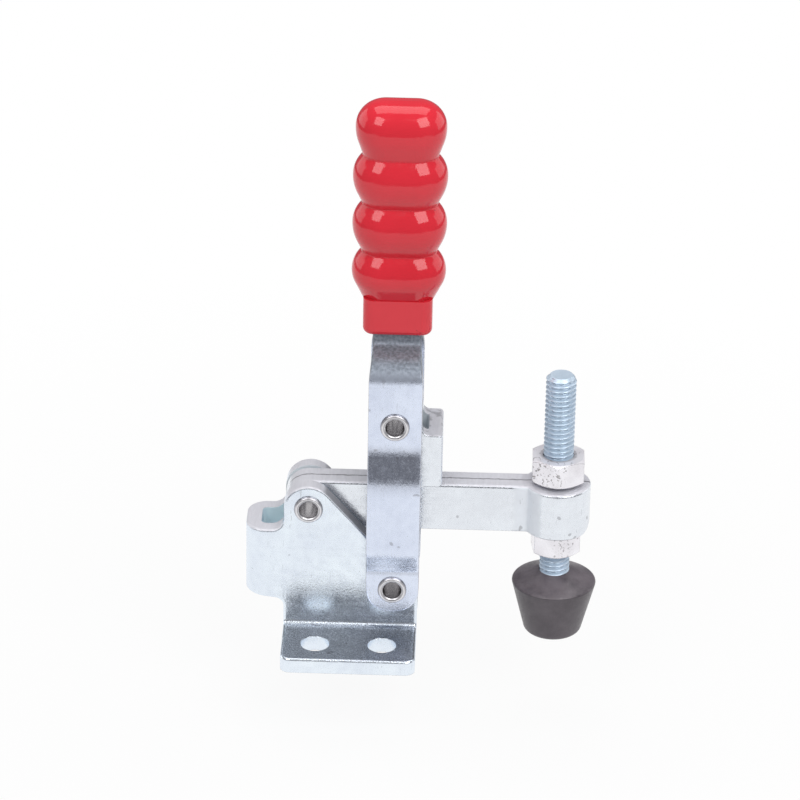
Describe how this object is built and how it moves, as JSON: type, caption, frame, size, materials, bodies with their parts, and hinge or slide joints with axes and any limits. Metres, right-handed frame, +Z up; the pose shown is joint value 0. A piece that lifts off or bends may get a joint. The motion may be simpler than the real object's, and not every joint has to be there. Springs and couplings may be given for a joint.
{
  "type": "toggle clamp",
  "caption": "Vertical-handle toggle clamp with a flanged base, a solid swinging arm, a screw spindle with a rubber tip and a ribbed red grip.",
  "frame": {"origin": "centre of the four base holes, on the underside of the flanges", "axes": "+X along the arm towards the spindle, +Y across the clamp, +Z up along the upright handle"},
  "size_m": [0.0686, 0.0408, 0.1115],
  "materials": {
    "zinc_steel": "bright zinc-plated sheet steel",
    "rivet_steel": "plated tubular rivets and sleeves",
    "blue_zinc": "blue zinc-plated rolled thread",
    "nickel_steel": "nickel-plated hexagon nuts",
    "red_vinyl": "glossy red moulded vinyl",
    "black_rubber": "moulded black rubber"
  },
  "bodies": {
    "base": {"base_bracket": "zinc_steel", "arm_rivet": "rivet_steel", "handle_rivet": "rivet_steel", "base_spacer": "rivet_steel"},
    "arm": {"arm_plate_front": "zinc_steel", "arm_plate_rear": "zinc_steel", "upper_nut": "nickel_steel", "lower_nut": "nickel_steel"},
    "link": {"toggle_link": "zinc_steel", "lower_link_rivet": "rivet_steel"},
    "handle": {"handle_strip_front": "zinc_steel", "handle_strip_rear": "zinc_steel", "hand_grip": "red_vinyl", "upper_link_rivet": "rivet_steel", "link_spacer": "rivet_steel"},
    "spindle": {"spindle": "blue_zinc", "rubber_tip": "black_rubber"}
  },
  "joints": [
    {"name": "arm_swing", "type": "hinge", "parent": "base", "child": "arm", "pos_m": [-0.0083, 0, 0.0283], "axis": [0, -1, 0], "range_deg": [0, 92]},
    {"name": "handle_swing", "type": "hinge", "parent": "base", "child": "handle", "pos_m": [0.0082, 0, 0.0128], "axis": [0, -1, 0], "range_deg": [0, 60]},
    {"name": "link_swing", "type": "hinge", "parent": "arm", "child": "link", "pos_m": [0.0082, 0, 0.0275], "axis": [0, -1, 0], "range_deg": [0, 42.5]},
    {"name": "spindle_height", "type": "slide", "parent": "arm", "child": "spindle", "axis": [0, 0, 1], "range_m": [-0.015, 0.004]}
  ],
  "couplings": [
    {"joint": "handle_swing", "follows": "arm_swing", "ratio": 0.65217},
    {"joint": "link_swing", "follows": "arm_swing", "ratio": 0.46195}
  ]
}
